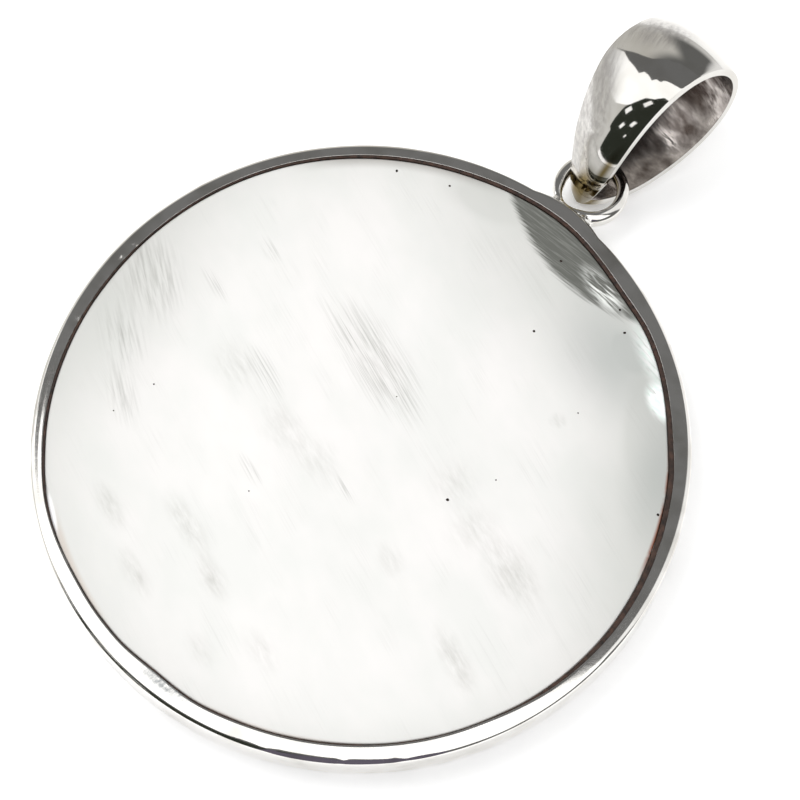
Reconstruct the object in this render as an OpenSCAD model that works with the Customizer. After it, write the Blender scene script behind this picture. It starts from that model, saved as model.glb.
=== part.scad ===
// Round shell pendant lying back up: a slab of shell cemented into a silver rim, a jump ring
// soldered to the rim's edge, and a tapered, domed bail that hangs in the ring.
// Millimetres. +Z is up, out of the pendant's back. +Y runs from the disc's centre to the ring and
// the bail. The origin is the centre of the front face, which is what the pendant lies on.

/* [Bezel] */
// Outside diameter of the silver rim
bezel_d = 45; // [38:0.5:52]
// Height of the rim, which is the thickness of the pendant
bezel_h = 3; // [2.6:0.1:4]
// Width of the rim's flat back, from its inner edge to its outside
bezel_w = 1.05; // [0.9:0.05:1.8]
// Radius of the rim's two outer corners
bezel_corner = 0.28; // [0.1:0.02:0.4]
// Width of the small bevel on the rim's two inner edges
bezel_bevel = 0.06; // [0.04:0.02:0.1]

/* [Shell disc] */
// How far the shell's back lies below the rim's back
shell_recess = 0.15; // [0.1:0.05:0.4]
// Radius of the rounded edge round the shell's back
shell_edge = 0.12; // [0.05:0.01:0.2]
// How far the shell sits off the rim's centre
shell_shift = 0.13; // [0:0.01:0.2]
// Direction of that shift, counted from +X towards +Y
shell_shift_angle = 236; // [0:1:360]

/* [Cement] */
// Mean width of the cement line between the shell and the rim
cement_w = 0.32; // [0.3:0.01:0.6]
// How far the cement lies below the rim's back, and above its front
cement_recess = 0.24; // [0.2:0.02:0.5]

/* [Jump ring] */
// Mean radius of the ring, to the middle of its oval wire
ring_r = 2.26; // [2.1:0.02:2.8]
// Width of the wire, seen from the back
ring_w = 0.78; // [0.7:0.02:1]
// Height of the wire
ring_h = 1.2; // [0.8:0.05:1.6]
// Height of the wire's middle above the front face
ring_z = 1.8; // [1.7:0.05:2]
// Sideways place of the ring
ring_x = -0.12; // [-0.3:0.02:0.3]
// How far the pad of solder stands out of the rim's wall
pad_out = 0.38; // [0.2:0.02:0.5]
// Width of the pad of solder along the rim
pad_w = 5.8; // [4:0.1:7]
// How deep the wire is let into the pad
ring_bite = 0.26; // [0.1:0.02:0.4]

/* [Bail] */
// Length of the loop from its pointed end to its round top
bail_len = 14.7; // [13:0.1:16]
// Depth of the loop from its front leg to its back leg
bail_depth = 8.8; // [8:0.1:9.6]
// How quickly the two legs close towards the pointed end
bail_taper = 0.7; // [0.6:0.05:1]
// Width of the sheet at the round top
bail_top_w = 7; // [6:0.1:8]
// Width of the sheet at the pointed end
bail_tip_w = 0.95; // [0.8:0.05:1.2]
// How far the sheet's middle stands out over its edges at the round top
bail_dome = 0.6; // [0.3:0.05:0.8]
// Thickness of the sheet
bail_sheet = 0.52; // [0.4:0.02:0.6]
// Length over which the two legs are one at the pointed end
bail_tip_len = 0.6; // [0.5:0.05:1]

/* [Bail placement] */
// Distance from the disc's centre to the bail's pointed end
bail_y = 24.42; // [24.3:0.02:24.6]
// Sideways place of the bail's pointed end
bail_x = -0.15; // [-0.3:0.05:0.1]
// Height of the bail's pointed end above the surface it lies on
bail_z = 0.59; // [0.58:0.01:0.7]
// How far the bail stands up from the surface, in degrees
bail_pitch = 32.2; // [31:0.1:34]
// How far the bail leans over to its left, in degrees
bail_roll = 16.4; // [14:0.1:18]
// How far the bail turns to its left from the line through the disc's centre, in degrees
bail_turn = -1.3; // [-3:0.1:1]

/* [Hidden] */

// Space that separate pieces keep between them
fit_gap = 0.02;
// Sides that stand for a true circle
round_sides = 96;

bezel_r = bezel_d / 2;
bezel_inner_r = bezel_r - bezel_w;
shell_r = bezel_inner_r - cement_w;
shell_top = bezel_h - shell_recess;
cement_h = bezel_h - 2 * cement_recess;
ring_y = bezel_r + pad_out + ring_r + ring_w / 2 - ring_bite;
// The pad is a round whose edge meets the rim's outside at both ends of its width
pad_sag = bezel_r + pad_out - sqrt(pow(bezel_r, 2) - pow(pad_w / 2, 2));
pad_r = (pow(pad_w / 2, 2) + pow(pad_sag, 2)) / (2 * pad_sag);

// Steps round the loop, and points across the sheet's two faces
bail_steps = 60;
bail_cross = 9;
// Greatest value of the leg's rise, which the depth is measured against
bail_rise_max = 2 * pow((bail_taper + 1) / (bail_taper + 2), (bail_taper + 1) / 2)
    / sqrt(bail_taper + 2);

silver = [0.80, 0.80, 0.79];
shell_white = [0.90, 0.90, 0.87];
cement_brown = [0.25, 0.18, 0.15];

// Point of a leg's line in the loop's own plane: along the loop, and out from its middle.
// The angle runs from 0 at the pointed end, by the front leg, to 180 at the round top.
function leg_along(angle, length) = length * (1 - cos(angle)) / 2;
function leg_out(angle, depth) =
    depth / 2 * sin(angle) * pow(abs(sin(angle / 2)), bail_taper) / bail_rise_max;

function outer_point(angle) = [leg_along(angle, bail_len), leg_out(angle, bail_depth)];
function inner_point(angle) = [
    bail_tip_len + leg_along(angle, bail_len - bail_tip_len - bail_sheet),
    leg_out(angle, bail_depth - 2 * bail_sheet)
];

function unit(v) = v / norm(v);
function sheet_width(angle) =
    bail_tip_w + (bail_top_w - bail_tip_w) * abs(sin(angle / 2));

// A point on one face of the sheet: side runs from -1 at the left edge to 1 at the right edge,
// and the dome sets the edges back towards the inside of the loop.
function sheet_point(line, angle, side) =
    let (
        width = sheet_width(angle),
        inward = unit(inner_point(angle) - outer_point(angle)),
        set_back = bail_dome * width / bail_top_w * side * side,
        place = line + inward * set_back
    )
    [side * width / 2, place[0], place[1]];

// One section through the sheet: across its outer face, then back across its inner face
function sheet_section(angle) = [
    for (i = [0 : bail_cross - 1])
        sheet_point(outer_point(angle), angle, -1 + 2 * i / (bail_cross - 1)),
    for (i = [0 : bail_cross - 1])
        sheet_point(inner_point(angle), angle, 1 - 2 * i / (bail_cross - 1))
];

// Skin over sections that follow each other round a closed loop
module closed_loop(sections) {
    count = len(sections);
    around = len(sections[0]);
    points = [for (section = sections) each section];
    faces = [
        for (i = [0 : count - 1])
            for (j = [0 : around - 1])
                let (
                    next_i = (i + 1) % count,
                    next_j = (j + 1) % around,
                    a = i * around + j,
                    b = i * around + next_j,
                    c = next_i * around + next_j,
                    d = next_i * around + j
                )
                each [[a, c, b], [a, d, c]]
    ];
    polyhedron(points, faces, convexity = 6);
}

// The outside of a section through the wall: from start to end, with both outer corners rounded
module wall_section(start, end) {
    translate([start, 0])
        square([end - start - bezel_corner, bezel_h]);
    translate([end - bezel_corner, bezel_corner])
        square([bezel_corner, bezel_h - 2 * bezel_corner]);
    for (z = [bezel_corner, bezel_h - bezel_corner])
        translate([end - bezel_corner, z])
            circle(r = bezel_corner, $fn = 32);
}

// The rim's section: square inside with small bevels, and rounded at its outer corners
module bezel_section() {
    translate([bezel_inner_r, bezel_bevel])
        square([bezel_w - bezel_corner, bezel_h - 2 * bezel_bevel]);
    wall_section(bezel_inner_r + bezel_bevel, bezel_r);
    for (side = [0, 1])
        translate([0, side * bezel_h])
            mirror([0, side])
                polygon([
                    [bezel_inner_r, bezel_bevel],
                    [bezel_inner_r + bezel_bevel, 0],
                    [bezel_inner_r + 2 * bezel_bevel, bezel_bevel],
                    [bezel_inner_r + bezel_bevel, 2 * bezel_bevel]
                ]);
}

// The ring's oval wire
module jump_ring() {
    translate([ring_x, ring_y, ring_z])
        rotate_extrude($fn = round_sides)
            translate([ring_r, 0])
                hull()
                    for (side = [-1, 1])
                        translate([0, side * (ring_h - ring_w) / 2])
                            circle(d = ring_w, $fn = 32);
}

// The pad of solder that holds the ring, filed flush with both faces of the rim
module solder() {
    difference() {
        translate([0, bezel_r + pad_out - pad_r, 0])
            rotate_extrude($fn = round_sides)
                wall_section(0, pad_r);
        translate([0, 0, -fit_gap])
            cylinder(r = bezel_inner_r + bezel_w / 2, h = bezel_h + 2 * fit_gap, $fn = round_sides);
    }
}

module bezel() {
    color(silver)
        union() {
            rotate_extrude($fn = round_sides) bezel_section();
            jump_ring();
            solder();
        }
}

module shell_disc() {
    straight = shell_top - shell_edge;
    color(shell_white)
        translate(shell_shift * [cos(shell_shift_angle), sin(shell_shift_angle), 0])
            rotate_extrude($fn = round_sides) {
                square([shell_r - shell_edge, shell_top]);
                square([shell_r, straight]);
                translate([shell_r - shell_edge, straight])
                    circle(r = shell_edge, $fn = 32);
            }
}

module cement() {
    color(cement_brown)
        difference() {
            translate([0, 0, cement_recess])
                cylinder(r = bezel_inner_r - fit_gap, h = cement_h, $fn = round_sides);
            translate(shell_shift * [cos(shell_shift_angle), sin(shell_shift_angle), 0])
                cylinder(r = shell_r + fit_gap, h = bezel_h, $fn = round_sides);
        }
}

module bail() {
    color(silver)
        translate([bail_x, bail_y, bail_z])
            rotate([0, 0, bail_turn])
                rotate([bail_pitch, 0, 0])
                    rotate([0, -bail_roll, 0])
                        closed_loop([
                            for (i = [0 : bail_steps - 1]) sheet_section(360 * i / bail_steps)
                        ]);
}

shell_disc();
cement();
bezel();
bail();
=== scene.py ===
"""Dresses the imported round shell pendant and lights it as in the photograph.

Everything is in metres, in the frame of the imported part: +Z is up out of the pendant's back, +Y runs
from the disc's centre to the jump ring and the bail. Sizes are written in millimetres and turned to
metres by MM. Directions round the disc are counted from +X towards +Y, in degrees.
"""

import logging
import math
from collections.abc import Callable
from dataclasses import dataclass
from enum import Enum

import bpy
import bmesh
from bpy.types import Material, Node, NodeSocket, Object, World
from mathutils import Euler, Matrix, Vector, noise

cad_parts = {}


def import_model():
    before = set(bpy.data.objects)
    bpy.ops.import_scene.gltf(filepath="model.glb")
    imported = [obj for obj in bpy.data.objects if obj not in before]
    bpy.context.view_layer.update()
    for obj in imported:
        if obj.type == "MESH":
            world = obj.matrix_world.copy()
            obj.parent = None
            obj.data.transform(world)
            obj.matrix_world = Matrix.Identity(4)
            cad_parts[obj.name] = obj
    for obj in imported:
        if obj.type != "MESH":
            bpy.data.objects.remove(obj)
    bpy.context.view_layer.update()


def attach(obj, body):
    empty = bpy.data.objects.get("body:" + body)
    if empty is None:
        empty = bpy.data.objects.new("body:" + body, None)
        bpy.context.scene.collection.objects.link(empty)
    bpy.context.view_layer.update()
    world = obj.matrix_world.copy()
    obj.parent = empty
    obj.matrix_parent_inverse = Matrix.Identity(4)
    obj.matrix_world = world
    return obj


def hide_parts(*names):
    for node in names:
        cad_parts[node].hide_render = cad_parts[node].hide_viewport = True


LOG = logging.getLogger("pendant")
MM = 0.001
WHITE = "#FFFFFF"
# Longest extent that flattens a coordinate when a mapping divides by it
FLAT = 1e6
# Rows of two numbers, such as a direction with a distance, or a point's two coordinates
Pairs = tuple[tuple[float, float], ...]
# How far from a level or a side a point may lie and still count as on it, in millimetres
TOUCH = 0.001
NEAR = 0.01
# How close two points of a finished piece may lie before they are welded, in millimetres
WELD = 0.0005


class Slot(Enum):
    """The record's material slots."""

    SHELL = "shell"
    CEMENT = "cement"
    RIM = "bezel_silver"
    BAIL = "bail_silver"


def linear(colour: str) -> tuple[float, float, float, float]:
    """Turns an sRGB hex colour to linear.

    Args:
        colour: Six hex digits after a hash sign.

    Returns:
        Linear red, green and blue, and 1 for a solid colour.
    """
    parts = [int(colour[i : i + 2], 16) / 255 for i in (1, 3, 5)]
    values = [p / 12.92 if p <= 0.04045 else ((p + 0.055) / 1.055) ** 2.4 for p in parts]
    return (values[0], values[1], values[2], 1.0)


def smooth_step(low: float, high: float, value: float) -> float:
    """Rises smoothly from 0 at low to 1 at high."""
    t = min(max((value - low) / (high - low), 0.0), 1.0)
    return t * t * (3 - 2 * t)


def hill(span: tuple[float, float, float, float], value: float) -> float:
    """Rises smoothly from 0 to 1 between a span's first two values and falls between its last two."""
    start, full, falling, gone = span
    return smooth_step(start, full, value) * (1 - smooth_step(falling, gone, value))


# What an input of a node takes: another node's output, a number, or a colour or a place
Feed = NodeSocket | float | tuple[float, ...]


class Recipe:
    """The nodes of a finish or of the studio's light, added one after the other."""

    def __init__(self, owner: Material | World) -> None:
        """Takes over the node tree of a material or a world and empties it."""
        owner.use_nodes = True
        self.tree = owner.node_tree
        self.tree.nodes.clear()

    def add(
        self,
        kind: str,
        settings: dict[str, object] | None = None,
        inputs: dict[str | int, Feed] | None = None,
    ) -> Node:
        """Adds a node with its settings and its inputs.

        Args:
            kind: The node's type name after "ShaderNode".
            settings: Properties to set on the node.
            inputs: Socket names or numbers, each with what feeds it.

        Returns:
            The new node.
        """
        node = self.tree.nodes.new("ShaderNode" + kind)
        for name, value in (settings or {}).items():
            setattr(node, name, value)
        for key, value in (inputs or {}).items():
            socket = node.inputs[key]
            if isinstance(value, NodeSocket):
                self.tree.links.new(value, socket)
            else:
                socket.default_value = value
        return node

    def reckoned(self, operation: str, *values: Feed, clamp: bool = False) -> NodeSocket:
        """Adds a calculation.

        Args:
            operation: Its name.
            values: The numbers it works on.
            clamp: Whether the result is held between 0 and 1.

        Returns:
            The result.
        """
        return self.add(
            "Math", {"operation": operation, "use_clamp": clamp}, dict(enumerate(values))).outputs[0]

    def product(self, *masks: Feed) -> NodeSocket:
        """Multiplies masks.

        Args:
            masks: Two or more masks or numbers.

        Returns:
            The product, held at 1 after each step.
        """
        product = masks[0]
        for mask in masks[1:]:
            product = self.reckoned("MULTIPLY", product, mask, clamp=True)
        return product

    def ranged(
        self,
        value: Feed,
        start: float,
        end: float,
        low: float = 0.0,
        high: float = 1.0,
        smooth: bool = False,
    ) -> NodeSocket:
        """Turns one range of values to another and holds what lies outside it.

        Args:
            value: The value.
            start: The value that gives low.
            end: The value that gives high.
            low: The first result.
            high: The last result.
            smooth: Whether both ends of the slope are rounded.

        Returns:
            The result.
        """
        slope = "SMOOTHSTEP" if smooth else "LINEAR"
        return self.add("MapRange", {"interpolation_type": slope}, {
            "Value": value, "From Min": start, "From Max": end,
            "To Min": low, "To Max": high}).outputs[0]

    def blended(self, factor: Feed, under: Feed, over: Feed) -> NodeSocket:
        """Goes from one number to another by a mask."""
        return self.add("Mix", None, {"Factor": factor, 2: under, 3: over}).outputs[0]

    def mixed(self, factor: Feed, under: Feed, over: Feed) -> NodeSocket:
        """Lays one colour over another by a mask."""
        return self.add("Mix", {"data_type": "RGBA"}, {"Factor": factor, 6: under, 7: over}).outputs[2]


class Finish(Recipe):
    """A material whose patterns read the place on the object in millimetres."""

    def __init__(self, name: str) -> None:
        """Makes an empty material with a name."""
        self.material = bpy.data.materials.new(name)
        super().__init__(self.material)
        metres = self.add("TexCoord").outputs["Object"]
        scaled = self.add("VectorMath", {"operation": "SCALE"}, {0: metres, "Scale": 1 / MM})
        self.place = scaled.outputs[0]

    def beyond(self, start: float, full: float) -> NodeSocket:
        """Builds a mask of what lies further from the disc's axis than start, full at full."""
        flat = self.add("VectorMath", {"operation": "MULTIPLY"}, {0: self.place, 1: (1, 1, 0)})
        radius = self.add("VectorMath", {"operation": "LENGTH"}, {0: flat.outputs[0]})
        return self.ranged(radius.outputs["Value"], start, full, smooth=True)

    def raised(self, height: Feed, distance: float, under: NodeSocket | None = None) -> NodeSocket:
        """Bends the light as if a pattern stood out of the surface.

        Args:
            height: The pattern.
            distance: How far its full value stands out, in millimetres.
            under: What an earlier call gave, where one pattern lies on another.

        Returns:
            The direction that the surface faces.
        """
        inputs = {"Height": height, "Distance": distance * MM, "Strength": 1.0}
        if under is not None:
            inputs["Normal"] = under
        return self.add("Bump", None, inputs).outputs[0]

    def surfaced(self, kind: str, inputs: dict[str | int, Feed]) -> Material:
        """Ends the recipe with its shader.

        Args:
            kind: The shader's type name after "ShaderNode".
            inputs: The shader's inputs.

        Returns:
            The finished material.
        """
        shader = self.add(kind, None, inputs)
        self.add("OutputMaterial", None, {"Surface": shader.outputs[0]})
        return self.material


def deselect_all() -> None:
    """Leaves object mode with nothing selected."""
    if bpy.context.object and bpy.context.object.mode != "OBJECT":
        bpy.ops.object.mode_set(mode="OBJECT")
    bpy.ops.object.select_all(action="DESELECT")


def apply_transform() -> None:
    """Puts the place, turn and scale of what is selected into its mesh."""
    bpy.ops.object.transform_apply(location=True, rotation=True, scale=True)


def make_active(obj: Object) -> None:
    """Selects one object alone and makes it active."""
    deselect_all()
    obj.select_set(True)
    bpy.context.view_layer.objects.active = obj


def join(objects: list[Object]) -> Object:
    """Joins mesh objects to the first of them.

    Args:
        objects: The objects, which must not be selected elsewhere.

    Returns:
        The first object, which now holds all the meshes.
    """
    make_active(objects[0])
    for obj in objects[1:]:
        obj.select_set(True)
    bpy.ops.object.join()
    return bpy.context.object


def apply_modifier(obj: Object, kind: str, **settings: object) -> None:
    """Adds a modifier and applies it at once.

    Args:
        obj: The mesh object.
        kind: The modifier's type.
        settings: The modifier's properties.
    """
    make_active(obj)
    modifier = obj.modifiers.new(kind.title(), kind)
    for name, value in settings.items():
        setattr(modifier, name, value)
    bpy.ops.object.modifier_apply(modifier=modifier.name)


def combine(obj: Object, tool: Object, operation: str, **settings: object) -> None:
    """Adds a tool object to a solid or cuts it out, and removes the tool.

    Args:
        obj: The solid that stays.
        tool: The solid that is added or cut out.
        operation: UNION or DIFFERENCE.
        settings: More of the modifier's properties.
    """
    apply_modifier(obj, "BOOLEAN", operation=operation, object=tool, solver="EXACT", **settings)
    bpy.data.objects.remove(tool)


def select_vertices(obj: Object, chosen: Callable[[Vector], bool]) -> None:
    """Selects the vertices of the object in edit mode that a rule on their place picks.

    Args:
        obj: The object in edit mode.
        chosen: The rule, which gets a vertex's place in millimetres.
    """
    bpy.ops.mesh.select_mode(type="VERT")
    bpy.ops.mesh.select_all(action="DESELECT")
    mesh = bmesh.from_edit_mesh(obj.data)
    for vert in mesh.verts:
        vert.select = chosen(vert.co / MM)
    mesh.select_flush(True)
    bmesh.update_edit_mesh(obj.data)


def move_vertices(obj: Object, move: Callable[[Vector], Vector]) -> None:
    """Moves each vertex to where a rule puts it, in millimetres.

    Args:
        obj: The mesh object.
        move: The rule, from a vertex's place to its new place.
    """
    for vert in obj.data.vertices:
        vert.co = move(vert.co / MM) * MM


def finish_mesh(obj: Object, name: str, smooth_deg: float = 40.0, sliver: float = 0.0) -> Object:
    """Names a piece, puts its place in its mesh, and gives it outward normals and smooth faces.

    Args:
        obj: The mesh object.
        name: The piece's name.
        smooth_deg: Edges sharper than this stay sharp.
        sliver: Faces narrower than this many millimetres are dissolved into their neighbours.

    Returns:
        The same object.
    """
    make_active(obj)
    apply_transform()
    bpy.ops.object.mode_set(mode="EDIT")
    bpy.ops.mesh.select_all(action="SELECT")
    bpy.ops.mesh.remove_doubles(threshold=WELD * MM)
    if sliver:
        bpy.ops.mesh.dissolve_degenerate(threshold=sliver * MM)
    bpy.ops.mesh.normals_make_consistent(inside=False)
    bpy.ops.object.mode_set(mode="OBJECT")
    bpy.ops.object.shade_smooth_by_angle(angle=math.radians(smooth_deg))
    obj.name = name
    obj.data.name = name
    return obj


@dataclass(frozen=True)
class Patch:
    """An oval place on the back of the disc where a finish changes. Millimetres and degrees."""

    x: float
    y: float
    half_length: float
    half_width: float
    turn: float = 0.0
    hard: float = 0.0

    def mask(self, finish: Finish) -> NodeSocket:
        """Builds the patch's mask.

        Args:
            finish: The material in the making.

        Returns:
            A value that is 1 out to the hard share of the oval and falls to 0 at its edge.
        """
        inside = finish.add("Mapping", {"vector_type": "TEXTURE"}, {
            "Vector": finish.place, "Location": (self.x, self.y, 0),
            "Rotation": (0, 0, math.radians(self.turn)),
            "Scale": (self.half_length, self.half_width, FLAT)})
        away = finish.add("VectorMath", {"operation": "LENGTH"}, {0: inside.outputs[0]})
        return finish.ranged(away.outputs["Value"], 1.0, self.hard, smooth=True)


def covered(finish: Finish, patches: tuple[Patch, ...]) -> NodeSocket:
    """Adds the masks of several patches.

    Args:
        finish: The material in the making.
        patches: The patches.

    Returns:
        The sum, held at 1.
    """
    total = patches[0].mask(finish)
    for patch in patches[1:]:
        total = finish.reckoned("ADD", total, patch.mask(finish), clamp=True)
    return total


@dataclass(frozen=True)
class Grain:
    """Noise drawn out along one direction, such as scratches or growth lines.

    The spacings are the mean distances between marks in millimetres, along and across them. The
    noise that lies at low gives 0, and what lies at high gives 1.
    """

    along: float
    across: float
    turn: float = 0.0
    detail: float = 2.0
    low: float = 0.0
    high: float = 1.0
    roughness: float = 0.55

    def value(self, finish: Finish) -> NodeSocket:
        """Builds the noise.

        Args:
            finish: The material in the making.

        Returns:
            The noise between 0 and 1.
        """
        drawn = finish.add("Mapping", {"vector_type": "TEXTURE"}, {
            "Vector": finish.place, "Rotation": (0, 0, math.radians(self.turn)),
            "Scale": (self.along, self.across, self.across)})
        cloud = finish.add("TexNoise", None, {
            "Vector": drawn.outputs[0], "Scale": 1.0, "Detail": self.detail,
            "Roughness": self.roughness})
        return finish.ranged(cloud.outputs["Fac"], self.low, self.high)


@dataclass(frozen=True)
class Tint:
    """A colour that lies on a finish in some places.

    With a band it lies only beyond the first of those two distances from the disc's axis, and fully
    from the second on. Millimetres.
    """

    colour: str
    strength: float
    patches: tuple[Patch, ...]
    band: tuple[float, float] | None = None

    def over(self, finish: Finish, under: Feed, *marks: Feed) -> NodeSocket:
        """Lays the tint over a colour.

        Args:
            finish: The material in the making.
            under: The colour below it.
            marks: Masks that break the tint up.

        Returns:
            The new colour.
        """
        ring = (finish.beyond(*self.band),) if self.band else ()
        mask = finish.product(*ring, *marks, covered(finish, self.patches), self.strength)
        return finish.mixed(mask, under, linear(self.colour))


@dataclass(frozen=True)
class BuffedSilver:
    """Sterling silver, filed and buffed by hand.

    A near mirror, slightly warm, that takes its tones from what stands round it. Hairline marks of
    the buff blur it a little, and gentle waves left by the file make the edges of reflections ragged.
    """

    name: str
    colour: str = "#E9E7E3"
    # A soft cloudiness that the buff leaves, some millimetres apart
    cloudy: str = "#CBC8C1"
    clouds: Grain = Grain(3.0, 3.0, low=0.45, high=0.8)
    roughness: float = 0.07
    # Waves of the file, 0.7 mm apart and under a thousandth of a millimetre high
    waves: Grain = Grain(0.7, 0.7)
    wave_height: float = 0.0009
    # Buffing hairlines, drawn twice as wide as real ones so that they show
    hairs: Grain = Grain(2.5, 0.05, 35.0)
    hair_height: float = 0.00004
    # The shallow and the deep hairlines, and how rough each makes it, as shares of the roughness
    hair_depths: tuple[float, float] = (0.3, 0.75)
    hair_roughness: tuple[float, float] = (0.7, 1.6)
    # Where the buff didn't reach: greyer, and rougher
    dull: tuple[Patch, ...] = ()
    dull_colour: str = "#B9BAB9"
    dull_roughness: float = 0.34
    dull_grain: Grain = Grain(0.9, 0.16, -50.0, 2.0, 0.25, 0.65)
    # Brown where the soldering torch browned it and no buff came later; on the rim, painted shade
    # inside the jump ring
    browned: Tint | None = None

    def build(self) -> Material:
        """Builds the material.

        Returns:
            The material.
        """
        finish = Finish(self.name)
        hair = self.hairs.value(finish)
        in_shallow, in_deep = (self.roughness * share for share in self.hair_roughness)
        rough = finish.ranged(hair, *self.hair_depths, in_shallow, in_deep)
        clouds = self.clouds.value(finish)
        colour = finish.mixed(clouds, linear(self.colour), linear(self.cloudy))
        if self.dull:
            ragged = finish.product(covered(finish, self.dull), self.dull_grain.value(finish))
            rough = finish.blended(ragged, rough, self.dull_roughness)
            colour = finish.mixed(ragged, colour, linear(self.dull_colour))
        if self.browned:
            colour = self.browned.over(finish, colour)
        wavy = finish.raised(self.waves.value(finish), self.wave_height)
        return finish.surfaced("BsdfPrincipled", {
            "Base Color": colour, "Metallic": 1.0, "Roughness": rough,
            "Normal": finish.raised(hair, self.hair_height, wavy)})


@dataclass(frozen=True)
class TarnishedSilver:
    """Sterling silver as the pickle and the torch left it, inside the loop where no buff reaches.

    Brown-grey and cloudy: soft mottles of tarnish over a half-bright metal, with painted shade in the
    round top.
    """

    name: str = "tarnished_silver"
    dark: str = "#544B46"
    middle: str = "#8B8480"
    bright: str = "#C4BDB8"
    # Where along the mottles those three tones lie
    tone_stops: tuple[float, float, float] = (0.1, 0.5, 0.95)
    mottles: Grain = Grain(3.2, 1.3, -10.0, 3.0, 0.3, 0.7)
    roughness: float = 0.2
    # Roughness of the dark and of the bright mottles, as shares of the roughness
    roughness_range: tuple[float, float] = (1.4, 0.7)
    # Painted shade: nearly black in the round top, deep inside the loop
    sooty: Tint = Tint("#3B312D", 1.0, (Patch(1.2, 36.6, 5.0, 3.0, 0.0, 0.3),))
    soot_streaks: Grain = Grain(3.0, 0.4, -10.0, 2.0, 0.65, 0.35)
    # Marks of the mandrel that it was bent round
    marks: Grain = Grain(3.5, 0.45, -10.0)
    mark_height: float = 0.03

    def build(self) -> Material:
        """Builds the material.

        Returns:
            The material.
        """
        finish = Finish(self.name)
        mottled = self.mottles.value(finish)
        ramp = finish.add("ValToRGB", None, {"Fac": mottled})
        stops = ramp.color_ramp.elements
        dark_stop, middle_stop, bright_stop = self.tone_stops
        stops[0].position, stops[0].color = dark_stop, linear(self.dark)
        stops[1].position, stops[1].color = bright_stop, linear(self.bright)
        stops.new(middle_stop).color = linear(self.middle)
        streaks = self.soot_streaks.value(finish)
        in_dark, in_bright = (self.roughness * share for share in self.roughness_range)
        return finish.surfaced("BsdfPrincipled", {
            "Base Color": self.sooty.over(finish, ramp.outputs[0], streaks), "Metallic": 1.0,
            "Roughness": finish.ranged(mottled, 0.0, 1.0, in_dark, in_bright),
            "Normal": finish.raised(self.marks.value(finish), self.mark_height)})


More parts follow.
